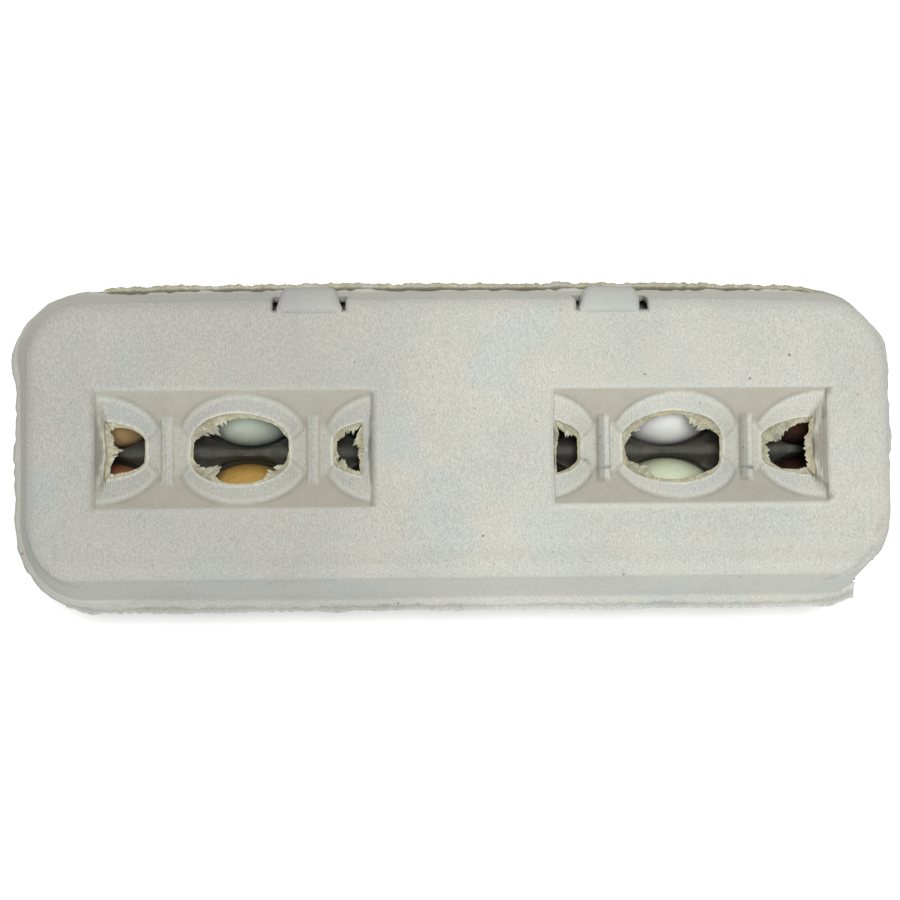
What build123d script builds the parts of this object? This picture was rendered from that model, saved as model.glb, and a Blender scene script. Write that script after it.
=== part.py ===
from build123d import *
import math
import os

# A moulded pulp egg carton for a dozen eggs, closed, with its eggs in it.
# X runs along the carton, +Y points to the latch side, the lid's hinge crease is on the -Y side,
# and Z is up from the surface the carton stands on. Everything is in millimetres.

# Overall size
LENGTH = 301.0
WIDTH = 109.4
HEIGHT = 68.0
PULP = 1.8  # thickness of the moulded pulp
GAP = 0.3  # air between the tray's rim and the lid's rim

# Egg pattern, six columns by two rows
COLUMN_PITCH = 47.75
ROW_PITCH = 47.6
ROWS_MIDDLE_Y = -2.9  # the rows lie nearer the hinge, which leaves room for the locking flap
COLUMNS = [(number - 2.5) * COLUMN_PITCH for number in range(6)]
ROWS = {"front": ROWS_MIDDLE_Y + ROW_PITCH / 2, "back": ROWS_MIDDLE_Y - ROW_PITCH / 2}

# Eggs, blunt end up
EGG_RADIUS = 21.3
EGG_BOTTOM = 4.0
EGG_LOWER_HALF = 31.0
EGG_UPPER_HALF = 26.0

# Tray
RIM_TOP = 40.0
RIM_THICKNESS = 2.0
RIM_CORNER = 29.7
CUP_FLOOR = (13.0, 3.0)  # radius and height of each point of a cup's inner side
CUP_WAIST = (20.5, 22.0)
CUP_MOUTH = (22.6, RIM_TOP)
CUP_WALL = 1.7
POST_BASE_RADIUS = 8.6
POST_TIP_RADIUS = 3.4
POST_TOP = 55.8
RIDGE_TOP = 46.5
RIDGE_BASE_HALF = 1.6
RIDGE_TOP_HALF = 0.9

# Lid
LID_BOTTOM = RIM_TOP + GAP
DRAFT = 18.0  # degrees that the lid's walls lean in from upright
PLATE_HALF_LENGTH = 139.5
PLATE_HALF_WIDTH = 43.8
PLATE_CORNER = 19.5
SHOULDER_RADIUS = 5.0

# Window panels sunk in the lid, one each side of the middle, centred on columns 2 and 5
PANEL_DEPTH = 9.5
PANEL_INNER_END = 29.6  # distance of a panel's ends from the middle of the lid
PANEL_OUTER_END = 118.8
PANEL_HALF_WIDTH = 19.0
PANEL_FLOOR_HALF = 7.4
PANEL_END_DRAFT = 1.5
DOME_RADIUS = 48.0  # each egg's clearance dome in a panel is part of a ball
DOME_TOP = HEIGHT - 0.7
WINDOW_HALF_LENGTH = 16.3
WINDOW_SIDE = 3.5
WINDOW_HALF_WIDTH = 11.5
WINDOW_END_INSET = 1.6  # from the panel's ends to the cut-off half windows
RIB_WIDTH = 3.2
RIB_TOP = HEIGHT - 6.7
RIB_HALF_LENGTH = 11.0

# Locking flap and its buttons
FLAP_THICKNESS = 1.44
FLAP_AXIS_Y = 49.0
FLAP_AXIS_Z = 40.8
FLAP_LEAN = 22.0  # degrees from upright, a little more than the lid's wall
FLAP_TOP = 64.8
FLAP_BASE_HALF = 119.0
FLAP_TOP_HALF = 115.0
BUTTON_X = 49.0
BUTTON_HALF_WIDTH = 9.8
BUTTON_FOOT = (44.0, 58.6)  # Y and Z of each point of the button's outer side
BUTTON_NOSE = (44.0, 60.2)
BUTTON_BROW = (42.8, 64.0)
BUTTON_TOP = (41.9, 65.7)
BUTTON_ROOT = 17.4  # distance of a button's lower end from the crease that the flap turns on
BUTTON_GAP = 0.4  # air between a button and the notch that it stands in
SLOT_HALF_WIDTH = 11.75
SLOT_BOTTOM = 60.5
SLOT_INNER_Y = 42.3

# Creases
BACK_BEAD_RADIUS = 0.9
BACK_AXIS_Y = -WIDTH / 2 + BACK_BEAD_RADIUS
BACK_AXIS_Z = RIM_TOP + GAP / 2
BACK_BEAD_HALF_LENGTH = 128.0
FRONT_BEAD_RADIUS = FLAP_AXIS_Z - RIM_TOP
CREASE_CLEARANCE = 0.2

SLOPE = math.tan(math.radians(DRAFT))
TALL = 100.0  # longer than anything a cutter has to pass through


def boxed(x_low, x_high, y_low, y_high, z_low, z_high):
    """A box between two corners."""
    box = Box(x_high - x_low, y_high - y_low, z_high - z_low)
    return Pos((x_low + x_high) / 2, (y_low + y_high) / 2, (z_low + z_high) / 2) * box


def slab(length, width, corner, bottom, thickness):
    """A flat plate with rounded corners."""
    return extrude(Pos(0, 0, bottom) * RectangleRounded(length, width, corner), thickness)


def turned(points):
    """A solid of revolution about Z from (radius, height) points."""
    outline = Plane.XZ * make_face(Polyline(*points, close=True))
    return revolve(outline, Axis.Z)


# ---------------------------------------------------------------- tray


def cup(grow, bottom):
    """One egg cup as a solid of revolution, with its inner side moved out by grow."""
    steps = [(CUP_FLOOR[0] + grow, bottom)]
    steps += [(CUP_WAIST[0] + grow, CUP_WAIST[1]), (CUP_MOUTH[0] + grow, CUP_MOUTH[1])]
    return turned([(0, bottom), *steps, (0, RIM_TOP)])


def ridge():
    """The low wall that runs between the two rows of eggs."""
    base = RIM_TOP - RIM_THICKNESS
    section = Polyline(
        (-RIDGE_BASE_HALF, base),
        (RIDGE_BASE_HALF, base),
        (RIDGE_TOP_HALF, RIDGE_TOP),
        (-RIDGE_TOP_HALF, RIDGE_TOP),
        close=True,
    )
    half_length = COLUMNS[-1]
    return Pos(0, ROWS_MIDDLE_Y, 0) * extrude(Plane.YZ * make_face(section), half_length, both=True)


def post():
    """A hollow cone that stands between four eggs and holds up the lid."""
    base = RIM_TOP - RIM_THICKNESS
    outside = turned([(0, base), (POST_BASE_RADIUS, base), (POST_TIP_RADIUS, POST_TOP), (0, POST_TOP)])
    inner_base = POST_BASE_RADIUS - PULP
    inner_tip = POST_TIP_RADIUS - PULP
    inside_top = POST_TOP - PULP
    inside = turned([(0, base), (inner_base, base), (inner_tip, inside_top), (0, inside_top)])
    return outside, inside


def make_tray():
    """Twelve cups hung in one rim, with a ridge and five posts along the middle."""
    places = [Pos(x, y, 0) for x in COLUMNS for y in ROWS.values()]
    post_places = [Pos((x + y) / 2, ROWS_MIDDLE_Y, 0) for x, y in zip(COLUMNS, COLUMNS[1:])]
    post_outside, post_inside = post()
    solid = slab(LENGTH, WIDTH, RIM_CORNER, RIM_TOP - RIM_THICKNESS, RIM_THICKNESS)
    solid += [place * cup(CUP_WALL, 0) for place in places]
    solid += ridge()
    solid += [place * post_outside for place in post_places]
    solid -= [place * cup(0, CUP_FLOOR[1]) for place in places]
    solid -= [place * post_inside for place in post_places]
    back_edge = BACK_AXIS_Y + BACK_BEAD_RADIUS
    solid -= boxed(-LENGTH, LENGTH, -WIDTH, back_edge, 0, TALL)
    return solid


def quarter_ellipse(half_width, foot, tip):
    """A quarter of an ellipse as one smooth curve, from the axis at tip out to its widest at foot."""
    pull = 4 / 3 * (math.sqrt(2) - 1)
    height = foot + pull * (tip - foot)
    return Bezier((0, tip), (pull * half_width, tip), (half_width, height), (half_width, foot))


def make_egg(x, y):
    """An egg: two half ellipses, the longer one below, turned about the egg's own axis."""
    equator = EGG_BOTTOM + EGG_LOWER_HALF
    below = quarter_ellipse(EGG_RADIUS, equator, EGG_BOTTOM)
    above = quarter_ellipse(EGG_RADIUS, equator, equator + EGG_UPPER_HALF)
    axis = Line(above @ 0, below @ 0)
    outline = Plane.XZ * make_face(Curve() + [below, above, axis])
    return Pos(x, y, 0) * revolve(outline, Axis.Z)


# ---------------------------------------------------------------- lid


def lid_block(inset, top, radius):
    """The lid's outer or inner form: a block with leaning sides and a rounded upper edge."""
    grow = SLOPE * (HEIGHT - LID_BOTTOM) - inset
    outline = RectangleRounded(
        2 * (PLATE_HALF_LENGTH + grow), 2 * (PLATE_HALF_WIDTH + grow), PLATE_CORNER + grow
    )
    block = extrude(Pos(0, 0, LID_BOTTOM) * outline, top - LID_BOTTOM, taper=DRAFT)
    return fillet(block.edges().group_by(Axis.Z)[-1], radius)


def trough(grow):
    """The rectangular hollow of one window panel, which narrows to its floor."""
    floor_z = HEIGHT - PANEL_DEPTH - grow
    middle = (PANEL_INNER_END + PANEL_OUTER_END) / 2
    length = PANEL_OUTER_END - PANEL_INNER_END + 2 * grow
    long_slope = (PANEL_HALF_WIDTH - PANEL_FLOOR_HALF) / PANEL_DEPTH
    sideways = grow * (math.hypot(1, long_slope) - long_slope)
    floor_face = Pos(middle, ROWS_MIDDLE_Y, floor_z) * Rectangle(
        length - 2 * PANEL_END_DRAFT, 2 * (PANEL_FLOOR_HALF + sideways)
    )
    rise = PANEL_DEPTH + grow
    top_face = Pos(middle, ROWS_MIDDLE_Y, HEIGHT) * Rectangle(
        length, 2 * (PANEL_FLOOR_HALF + sideways + rise * long_slope)
    )
    return loft([floor_face, top_face])


def panel_columns():
    """The three egg columns that one panel covers, on the +X side."""
    return COLUMNS[3:]


def domes(shrink):
    """The egg clearance domes of one panel."""
    ball = Sphere(DOME_RADIUS - shrink)
    centre_z = DOME_TOP - DOME_RADIUS
    return [Pos(x, y, centre_z) * ball for x in panel_columns() for y in ROWS.values()]


def ribs():
    """Two stiffening ribs across one panel, over the tray's posts."""
    middles = [(x + y) / 2 for x, y in zip(panel_columns(), panel_columns()[1:])]
    floor_z = HEIGHT - PANEL_DEPTH - PULP / 2
    half = RIB_WIDTH / 2
    low_y = ROWS_MIDDLE_Y - RIB_HALF_LENGTH
    high_y = ROWS_MIDDLE_Y + RIB_HALF_LENGTH
    return [boxed(x - half, x + half, low_y, high_y, floor_z, RIB_TOP) for x in middles]


def windows():
    """The openings of one panel: a whole one over the middle column and a half one at each end."""
    arc_over = ThreePointArc(
        (WINDOW_HALF_LENGTH, WINDOW_SIDE), (0, WINDOW_HALF_WIDTH), (-WINDOW_HALF_LENGTH, WINDOW_SIDE)
    )
    arc_under = ThreePointArc(
        (-WINDOW_HALF_LENGTH, -WINDOW_SIDE), (0, -WINDOW_HALF_WIDTH), (WINDOW_HALF_LENGTH, -WINDOW_SIDE)
    )
    sides = [Line(arc_over @ 1, arc_under @ 0), Line(arc_under @ 1, arc_over @ 0)]
    outline = make_face(Curve() + [arc_over, arc_under, *sides])
    cutter = extrude(Pos(0, 0, POST_TOP) * outline, TALL)
    limits = boxed(
        PANEL_INNER_END + WINDOW_END_INSET,
        PANEL_OUTER_END - WINDOW_END_INSET,
        -WIDTH,
        WIDTH,
        0,
        2 * TALL,
    )
    return [(Pos(x, ROWS_MIDDLE_Y, 0) * cutter) & limits for x in panel_columns()]


def panel_hollow(grow):
    """What one window panel takes out of the lid's block, on its +X side."""
    hollow = trough(grow) - domes(grow)
    if grow == 0:
        hollow -= ribs()
    return hollow


def both_sides(solid):
    """The solid and its mirror image across the middle of the carton."""
    return [solid, mirror(solid, Plane.YZ)]


def make_lid():
    """The domed cover: a rim, leaning walls, a flat top with two window panels, and two latch slots."""
    wall = PULP / math.cos(math.radians(DRAFT))
    outside = lid_block(0, HEIGHT, SHOULDER_RADIUS)
    outside += slab(LENGTH, WIDTH, RIM_CORNER, LID_BOTTOM, PULP)
    outside -= both_sides(panel_hollow(0))
    inside = lid_block(wall, HEIGHT - PULP, SHOULDER_RADIUS - PULP)
    inside -= both_sides(panel_hollow(PULP))
    solid = outside - inside
    for window in windows():
        solid -= both_sides(window)
    slot = boxed(
        BUTTON_X - SLOT_HALF_WIDTH, BUTTON_X + SLOT_HALF_WIDTH, SLOT_INNER_Y, WIDTH, SLOT_BOTTOM, TALL
    )
    solid -= both_sides(slot)
    back_edge = BACK_AXIS_Y + BACK_BEAD_RADIUS + CREASE_CLEARANCE
    solid -= boxed(-LENGTH, LENGTH, -WIDTH, back_edge, 0, TALL)
    return solid


# ---------------------------------------------------------------- locking flap


def flap_inner_y(z):
    """Where the flap's inner side is at a height."""
    lean = math.radians(FLAP_LEAN)
    middle = FLAP_AXIS_Y - (z - FLAP_AXIS_Z) * math.tan(lean)
    return middle - FLAP_THICKNESS / 2 / math.cos(lean)


def notch(x):
    """What a button's notch takes out of the flap: everything past a distance from the crease."""
    half = BUTTON_HALF_WIDTH + BUTTON_GAP
    block = boxed(x - half, x + half, 0, WIDTH, FLAP_AXIS_Z, TALL)
    return block - bead(BUTTON_ROOT - BUTTON_GAP, LENGTH, FLAP_AXIS_Y, FLAP_AXIS_Z)


def make_flap():
    """A leaning strip inside the lid's front wall, with a notch for each button."""
    start = FRONT_BEAD_RADIUS + CREASE_CLEARANCE
    reach = (FLAP_TOP - FLAP_AXIS_Z) / math.cos(math.radians(FLAP_LEAN))
    outline = Polyline(
        (-FLAP_BASE_HALF, start),
        (FLAP_BASE_HALF, start),
        (FLAP_TOP_HALF, reach),
        (-FLAP_TOP_HALF, reach),
        close=True,
    )
    strip = extrude(make_face(outline), FLAP_THICKNESS / 2, both=True)
    upright = Pos(0, FLAP_AXIS_Y, FLAP_AXIS_Z) * (Rot(90 + FLAP_LEAN, 0, 0) * strip)
    return upright - [notch(-BUTTON_X), notch(BUTTON_X)]


def make_button(x):
    """A bump that stands in a notch of the flap and shows in the lid's slot."""
    outline = Polyline(
        (flap_inner_y(FLAP_AXIS_Z), FLAP_AXIS_Z),
        (BUTTON_FOOT[0], FLAP_AXIS_Z),
        BUTTON_FOOT,
        BUTTON_NOSE,
        BUTTON_BROW,
        BUTTON_TOP,
        (flap_inner_y(BUTTON_TOP[1]), BUTTON_TOP[1]),
        close=True,
    )
    bump = extrude(Plane.YZ * make_face(outline), BUTTON_HALF_WIDTH, both=True)
    return Pos(x, 0, 0) * (bump - bead(BUTTON_ROOT, LENGTH, FLAP_AXIS_Y, FLAP_AXIS_Z))


# ---------------------------------------------------------------- creases


def bead(radius, half_length, y, z):
    """A round bead along X."""
    return Pos(0, y, z) * (Rot(0, 90, 0) * Cylinder(radius, 2 * half_length))


def make_back_crease():
    """The fold that joins the lid to the tray: a bead on the fold's axis and the web behind it."""
    half = BACK_BEAD_HALF_LENGTH
    edge = BACK_AXIS_Y + BACK_BEAD_RADIUS
    web = boxed(-half, half, BACK_AXIS_Y, edge, RIM_TOP - RIM_THICKNESS + PULP / 4, RIM_TOP)
    return bead(BACK_BEAD_RADIUS, half, BACK_AXIS_Y, BACK_AXIS_Z) + web


def make_front_crease():
    """The fold that joins the locking flap to the tray's rim: a bead that lies along the rim."""
    return bead(FRONT_BEAD_RADIUS, FLAP_BASE_HALF, FLAP_AXIS_Y, FLAP_AXIS_Z)


parts = {
    "tray": make_tray(),
    "lid": make_lid(),
    "locking_flap": make_flap(),
    "lock_button_left": make_button(-BUTTON_X),
    "lock_button_right": make_button(BUTTON_X),
    "back_crease": make_back_crease(),
    "front_crease": make_front_crease(),
}
for row, row_y in ROWS.items():
    for number, column_x in enumerate(COLUMNS, start=1):
        parts[f"egg_{row}_{number}"] = make_egg(column_x, row_y)

for node, part in parts.items():
    export_step(part, f"parts/{node}.step")
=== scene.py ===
import itertools
import math
import bmesh
import bpy
import numpy as np
from mathutils import Euler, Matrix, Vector


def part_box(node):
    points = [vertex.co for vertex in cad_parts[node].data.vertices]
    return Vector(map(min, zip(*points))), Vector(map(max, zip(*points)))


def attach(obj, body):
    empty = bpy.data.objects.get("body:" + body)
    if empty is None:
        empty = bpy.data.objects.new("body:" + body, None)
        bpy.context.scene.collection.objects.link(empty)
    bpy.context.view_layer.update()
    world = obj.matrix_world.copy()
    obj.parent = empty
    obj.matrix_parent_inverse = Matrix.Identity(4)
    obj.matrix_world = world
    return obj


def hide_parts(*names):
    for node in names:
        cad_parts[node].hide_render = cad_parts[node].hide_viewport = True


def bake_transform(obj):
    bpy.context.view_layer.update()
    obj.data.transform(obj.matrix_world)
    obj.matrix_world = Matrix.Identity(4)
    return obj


# A closed moulded pulp egg carton for a dozen eggs, seen from above.
# Shapes are worked out in millimetres in the frame of the CAD model: X along the carton, +Y to the
# latch side, Z up. mesh_piece() turns them into metres. "v" is Y measured from the middle between
# the two rows of eggs.
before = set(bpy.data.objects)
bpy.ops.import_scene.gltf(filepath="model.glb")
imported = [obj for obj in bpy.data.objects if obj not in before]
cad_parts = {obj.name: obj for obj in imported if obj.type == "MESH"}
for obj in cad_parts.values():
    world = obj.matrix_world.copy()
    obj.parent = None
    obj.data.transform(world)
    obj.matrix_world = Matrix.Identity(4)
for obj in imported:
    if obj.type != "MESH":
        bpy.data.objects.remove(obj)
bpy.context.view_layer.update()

MM = 0.001


def box_mm(node):
    """The lowest and highest corners of a CAD node, in millimetres."""
    low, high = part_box(node)
    return np.array(low) / MM, np.array(high) / MM


def middle_mm(node):
    """The middle of a CAD node's box, in millimetres."""
    low, high = box_mm(node)
    return (low + high) / 2


LID_HIGH = box_mm("lid")[1]
TRAY_HIGH = box_mm("tray")[1]
FLAP_LOW, FLAP_HIGH = box_mm("locking_flap")
FRONT_FOLD = middle_mm("front_crease")
COLUMNS = [middle_mm(f"egg_front_{number}")[0] for number in range(1, 7)]
FRONT_ROW_Y = middle_mm("egg_front_1")[1]
BACK_ROW_Y = middle_mm("egg_back_1")[1]
ROWS_Y = (FRONT_ROW_Y + BACK_ROW_Y) / 2
COLUMN_PITCH = COLUMNS[1] - COLUMNS[0]
ROW_PITCH = FRONT_ROW_Y - BACK_ROW_Y
TOP_Z = LID_HIGH[2]
PULP = 1.8  # thickness of the moulded pulp

# The lid's flat top and the way its shoulder, wall and rim go down from it
FLAT_HALF_LENGTH = 135.9
FLAT_HALF_WIDTH = 40.2
FLAT_CORNERS = {  # length and width of the rounding at each corner, keyed by the signs of X and Y
    (-1, 1): (11.5, 13.5),
    (1, 1): (13.0, 20.0),
    (1, -1): (13.0, 17.0),
    (-1, -1): (10.0, 16.0),
}
SHOULDER_ARCS = ((6.5, 44.0), (2.2, 72.0))  # radius of each arc and the slope where it ends
WALL_DRAFT = math.radians(18.0)
RIM_Z = 42.1
SHOULDER_CREASE_Z = 64.6  # the crease at the foot of the hinge side's shoulder
FRONT_RIM_REACH = 11.8  # how far the rim reaches out from the flat top
RIM_REACH = 14.4

# Window panels
PANELS = (  # X range, v range, and how far each end wall leans
    ((-118.9, -29.2), (-19.4, 19.4), (2.8, 1.6)),
    ((29.7, 120.4), (-18.7, 19.5), (1.2, 4.6)),
)
PANEL_DEPTH = 9.5
PANEL_SLOPE = 0.82
DOME_SPREAD = 34.0  # half width and half height of the ball flattened into each egg's dome
DOME_RISE = 25.1
DOME_TOP_Z = TOP_Z - 0.9
RIBS = (-96.4, -48.7, 47.3, 95.0)
RIB_HALF = 1.55
RIB_SIDE = 0.5
RIB_TOP = TOP_Z - 6.7
RIB_HALF_LENGTH = 10.9
WINDOW_SIDE = 3.5  # half the length of a window's straight ends

# Latch slots and buttons, left and right
SLOTS = ((-61.3, -37.6), (37.9, 61.4))
SLOT_BOTTOM_Z = 58.5


# ---------------------------------------------------------------- helpers


def noise(points, size, seed):
    """Smooth random values from -1 to 1 at (x, y, z) points, with bumps about size across."""
    table = np.random.default_rng(seed).uniform(-1, 1, (32, 32, 32))
    scaled = np.asarray(points, float) / size
    base = np.floor(scaled).astype(int)
    part = scaled - base
    ease = part * part * (3 - 2 * part)
    total = np.zeros(len(scaled))
    for corner in itertools.product((0, 1), repeat=3):
        weight = np.prod(np.where(corner, ease, 1 - ease), axis=1)
        cell = (base + corner) % len(table)
        total += weight * table[cell[:, 0], cell[:, 1], cell[:, 2]]
    return total


def noise_along(values, size, seed):
    """Smooth random values from -1 to 1 along one line."""
    values = np.asarray(values, float)
    zeros = np.zeros_like(values)
    return noise(np.column_stack([values, zeros, zeros]), size, seed)


def soft_max(first, second, width):
    """The larger of two heights, with the corner between them rounded."""
    gap = np.clip(0.5 + (first - second) / (2 * width), 0, 1)
    return second + (first - second) * gap + width * gap * (1 - gap)


def soft_min(first, second, width):
    """The smaller of two heights, with the corner between them rounded."""
    return -soft_max(-first, -second, width)


def fade(value, start, end):
    """A smooth step from 0 at start to 1 at end."""
    part = np.clip((value - start) / (end - start), 0, 1)
    return part * part * (3 - 2 * part)


def lines_through(keys, step_at):
    """Grid lines through every key position, spaced by step_at(position) or a little less."""
    lines = [keys[0]]
    for start, end in zip(keys, keys[1:]):
        count = max(1, math.ceil((end - start) / step_at((start + end) / 2)))
        lines += [start + (end - start) * number / count for number in range(1, count + 1)]
    return np.array(lines)


def strip_faces(rows, columns, closed=False, first=0):
    """Quads between points laid out in rows, wound so that row x column is the outer side."""
    wraps = columns if closed else columns - 1
    row, column = np.meshgrid(np.arange(rows - 1), np.arange(wraps), indexing="ij")
    here = first + row * columns + column
    beside = first + row * columns + (column + 1) % columns
    return np.stack([here, beside, beside + columns, here + columns], axis=-1).reshape(-1, 4)


def mesh_piece(name, points, blocks, values=None):
    """A smooth mesh object from points in millimetres and blocks of faces of one size each, with named
    numbers at its points. Points that no face uses are left out."""
    used, places = np.unique(np.concatenate([block.ravel() for block in blocks]), return_inverse=True)
    faces = []
    first = 0
    for block in blocks:
        faces += places[first:first + block.size].reshape(block.shape).tolist()
        first += block.size
    mesh = bpy.data.meshes.new(name)
    mesh.from_pydata((np.asarray(points)[used] * MM).tolist(), [], faces)
    for key, numbers in (values or {}).items():
        layer = mesh.attributes.new(key, "FLOAT", "POINT")
        layer.data.foreach_set("value", np.asarray(numbers, np.float32)[used])
    mesh.shade_smooth()
    mesh.update()
    piece = bpy.data.objects.new(name, mesh)
    bpy.context.scene.collection.objects.link(piece)
    return piece


def thicken(piece, thickness, offset=-1.0):
    """Gives a sheet its thickness, on its inner side unless told otherwise."""
    solid = piece.modifiers.new("thickness", "SOLIDIFY")
    solid.thickness = thickness * MM
    solid.offset = offset


# ---------------------------------------------------------------- materials


def add_node(tree, kind, inputs=None, **settings):
    """Adds a shader node, sets its properties, and sets or links its inputs."""
    new = tree.nodes.new(kind)
    for key, value in settings.items():
        setattr(new, key, value)
    for key, value in (inputs or {}).items():
        if isinstance(value, bpy.types.NodeSocket):
            tree.links.new(value, new.inputs[key])
        else:
            new.inputs[key].default_value = value
    return new


def mix(tree, factor, first, second, mode="MIX"):
    """A colour mixed from two others."""
    inputs = {0: factor, 6: first, 7: second}
    return add_node(tree, "ShaderNodeMix", inputs, data_type="RGBA", blend_type=mode).outputs[2]


def tint(tree, colour, where, strength, tone):
    """The colour with a tone mixed in, by a strength, where a number from 0 to 1 says so."""
    return mix(tree, maths(tree, "MULTIPLY", where, strength), colour, tone)


def shade(tree, colour, where, low, high, strength=1.0):
    """The colour multiplied by a tone that goes from low to high with a number from 0 to 1."""
    return mix(tree, strength, colour, mix(tree, where, low, high), "MULTIPLY")


def maths(tree, operation, first, second=0.0, clamp=False):
    """One arithmetic node."""
    inputs = {0: first, 1: second}
    return add_node(tree, "ShaderNodeMath", inputs, operation=operation, use_clamp=clamp).outputs[0]


def ramp(tree, value, low, high):
    """The value remapped so that low gives 0 and high gives 1."""
    inputs = {"Value": value, "From Min": low, "From Max": high}
    return add_node(tree, "ShaderNodeMapRange", inputs, clamp=True).outputs["Result"]


def stretched(tree, scale):
    """The object's own coordinates in metres, times a scale for each axis."""
    coordinates = add_node(tree, "ShaderNodeTexCoord").outputs["Object"]
    inputs = {"Vector": coordinates, "Scale": scale}
    return add_node(tree, "ShaderNodeMapping", inputs).outputs["Vector"]


def grain(tree, size, detail=2.0, stretch=(1.0, 1.0, 1.0), offset=0.0):
    """A noise with features of about size millimetres, from 0 to 1."""
    scale = tuple(factor / (size * MM) for factor in stretch)
    inputs = {"Vector": stretched(tree, scale), "Scale": 1.0, "Detail": detail, "W": offset}
    return add_node(tree, "ShaderNodeTexNoise", inputs, noise_dimensions="4D").outputs["Fac"]


def attribute(tree, name):
    """A number stored at the mesh's points."""
    return add_node(tree, "ShaderNodeAttribute", attribute_name=name).outputs["Fac"]


def new_material(name):
    """A material with its node tree and its shader."""
    material = bpy.data.materials.new(name)
    material.use_nodes = True
    shader = material.node_tree.nodes["Principled BSDF"]
    return material, material.node_tree, shader


def rgb(red, green, blue):
    """A colour as a shader input, from linear values."""
    return (red, green, blue, 1.0)


def specks(tree, spacing, size, seed):
    """1 on small round spots, one to a cell of the spacing, and 0 elsewhere. Sizes vary."""
    vector = stretched(tree, (1 / (spacing * MM),) * 3)
    inputs = {"Vector": vector, "Scale": 1.0, "Randomness": 1.0}
    cells = add_node(tree, "ShaderNodeTexVoronoi", inputs)
    limit = maths(tree, "MULTIPLY", grain(tree, spacing * 1.7, 0.0, offset=seed), size / spacing)
    return maths(tree, "LESS_THAN", cells.outputs["Distance"], limit)


# Painted shade: the pulp is painted darker towards the left: fully at one X, not at all at the other
LEFT_SHADE_FULL_X = -55.0
LEFT_SHADE_NONE_X = 10.0


def pulp_material(name, pale, deep, marks=0.0, bump=0.45, mottling=1.0):
    """Moulded pulp: mottled grey fibre with specks, hairs and the print of a wire mesh, and painted light and
    shade.
    """
    material, tree, shader = new_material(name)
    colour = mix(tree, ramp(tree, grain(tree, 34, 3), 0.36, 0.64), pale, deep)
    pink = ramp(tree, grain(tree, 13, 2, offset=3.0), 0.57, 0.72)
    colour = tint(tree, colour, pink, 0.40, rgb(0.475, 0.425, 0.395))
    blue = ramp(tree, grain(tree, 26, 2, offset=7.0), 0.54, 0.70)
    colour = tint(tree, colour, blue, 0.50, rgb(0.40, 0.445, 0.44))
    fine = grain(tree, 0.55, 5, (1.35, 0.8, 1.0))
    mottle = ramp(tree, fine, 0.30, 0.70)
    colour = shade(tree, colour, mottle, rgb(0.78, 0.78, 0.775), rgb(1.18, 1.18, 1.175), mottling)
    place = add_node(tree, "ShaderNodeSeparateXYZ", {0: stretched(tree, (1, 1, 1))})
    # painted shade: the pulp darkens towards the left end
    painted_left_shade = ramp(tree, place.outputs["X"], LEFT_SHADE_FULL_X * MM, LEFT_SHADE_NONE_X * MM)
    colour = shade(tree, colour, painted_left_shade, rgb(0.82, 0.815, 0.82), rgb(1.0, 1.0, 1.0))
    hairs = ramp(tree, grain(tree, 1.0, 2, (0.25, 1.6, 1.0), 11.0), 0.66, 0.76)
    colour = tint(tree, colour, hairs, 0.20, rgb(0.30, 0.29, 0.26))
    pale_hairs = ramp(tree, grain(tree, 0.8, 2, (1.3, 0.3, 1.0), 17.0), 0.66, 0.74)
    colour = tint(tree, colour, pale_hairs, 0.25, rgb(0.78, 0.78, 0.74))
    colour = tint(tree, colour, specks(tree, 5.2, 0.55, 5.0), 0.50, rgb(0.16, 0.15, 0.14))
    colour = tint(tree, colour, specks(tree, 11.0, 0.85, 9.0), 0.65, rgb(0.10, 0.09, 0.08))

    # slopes, panel end walls and bands beside ribs: a browner pulp tone, darkened further by painted shade
    slope = attribute(tree, "slope")
    slope_tone_and_shade = mix(tree, ramp(tree, grain(tree, 5, 3, offset=21.0), 0.35, 0.65),
               rgb(0.335, 0.315, 0.255), rgb(0.365, 0.348, 0.29))
    colour = mix(tree, maths(tree, "MULTIPLY", slope, 0.9), colour, mix(tree, 0.82, colour, slope_tone_and_shade))
    # painted highlight on window lips, rib and dome edges, panel borders and a rim line; painted light on two
    # walls; the buttons' paler sides
    colour = mix(tree, attribute(tree, "edge"), colour, rgb(0.56, 0.56, 0.49))
    # cracks, and painted shade beside ribs, under domes, round slots, in creases, between the tray's rows and
    # at the roots of torn edges
    colour = mix(tree, attribute(tree, "crack_and_painted_shade"), colour, rgb(0.050, 0.048, 0.040))

    wave_inputs = {"Vector": stretched(tree, (1.0, 1.0, 1.0)), "Scale": marks, "Distortion": 2.6,
                   "Detail": 1.0, "Detail Scale": 0.5}
    wires = add_node(tree, "ShaderNodeTexWave", wave_inputs, bands_direction="X").outputs["Fac"]
    printed = maths(tree, "MULTIPLY", wires, attribute(tree, "marks"))
    wire_shade = mix(tree, wires, rgb(0.92, 0.92, 0.92), rgb(1.07, 1.07, 1.07))
    colour = mix(tree, attribute(tree, "marks"), colour, mix(tree, 1.0, colour, wire_shade, "MULTIPLY"))
    tree.links.new(colour, shader.inputs["Base Color"])

    height = maths(tree, "ADD", maths(tree, "MULTIPLY", fine, 0.7), maths(tree, "MULTIPLY", printed, 0.5))
    height = maths(tree, "ADD", height, maths(tree, "MULTIPLY", grain(tree, 3.0, 3, offset=2.0), 0.8))
    inputs = {"Height": height, "Strength": bump, "Distance": 0.35 * MM}
    normal = add_node(tree, "ShaderNodeBump", inputs).outputs["Normal"]
    tree.links.new(normal, shader.inputs["Normal"])
    shader.inputs["Roughness"].default_value = 0.92
    shader.inputs["Specular IOR Level"].default_value = 0.2
    return material


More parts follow.
